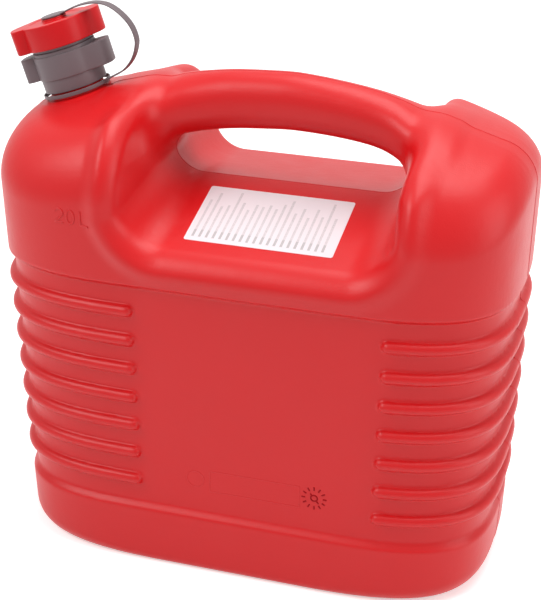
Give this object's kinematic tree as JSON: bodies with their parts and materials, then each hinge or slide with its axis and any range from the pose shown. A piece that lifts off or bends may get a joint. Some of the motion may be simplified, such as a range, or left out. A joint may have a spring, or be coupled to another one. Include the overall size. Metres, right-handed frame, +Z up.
{
  "type": "fuel can",
  "caption": "Blow-moulded red plastic fuel can with a hollow top grip, ribbed ends, stowed pouring spout, winged collar and tethered screw cap.",
  "frame": {"origin": "centre of the standing face, on the floor", "axes": "+Z up, +X along the can's long side away from the neck, -Y towards the front face that carries the label"},
  "size_m": [0.4041, 0.2086, 0.4255],
  "materials": {
    "can_red": "fine moulded satin",
    "cap_red": "moulded satin",
    "collar_grey": "moulded satin",
    "spout_grey": "moulded satin, soft plastic",
    "tether_grey": "moulded satin, soft plastic",
    "gasket_black": "matt rubber",
    "liner_white": "pressed foam"
  },
  "bodies": {
    "can": {"can_body": "can_red"},
    "seal": {"neck_gasket": "gasket_black"},
    "pouring_spout": {"spout": "spout_grey"},
    "union_collar": {"collar": "collar_grey"},
    "tether": {"tether_ring": "tether_grey", "tether_strap": "tether_grey"},
    "eye": {"tether_eye": "tether_grey"},
    "screw_cap": {"cap": "cap_red", "cap_liner": "liner_white"}
  },
  "joints": [
    {"name": "closure_lift", "type": "slide", "parent": "can", "child": "seal", "axis": [-0.3007, 0, 0.9537], "range_m": [0, 0.21]},
    {"name": "collar_rise", "type": "slide", "parent": "seal", "child": "pouring_spout", "axis": [-0.3007, 0, 0.9537], "range_m": [0, 0.0101]},
    {"name": "collar_turn", "type": "hinge", "parent": "pouring_spout", "child": "union_collar", "pos_m": [-0.1557, 0, 0.3587], "axis": [-0.3007, 0, 0.9537], "range_deg": [0, 720]},
    {"name": "cap_rise", "type": "slide", "parent": "union_collar", "child": "tether", "axis": [-0.3007, 0, 0.9537], "range_m": [0, 0.0081]},
    {"name": "cap_lift", "type": "slide", "parent": "tether", "child": "eye", "axis": [-0.3007, 0, 0.9537], "range_m": [0, 0.03], "deforming": ["tether_strap"]},
    {"name": "cap_turn", "type": "hinge", "parent": "eye", "child": "screw_cap", "pos_m": [-0.1557, 0, 0.3587], "axis": [-0.3007, 0, 0.9537], "range_deg": [0, 720]}
  ],
  "couplings": [
    {"joint": "collar_rise", "follows": "collar_turn", "m_per_rad": 0.0008},
    {"joint": "cap_rise", "follows": "cap_turn", "m_per_rad": 0.00064}
  ]
}
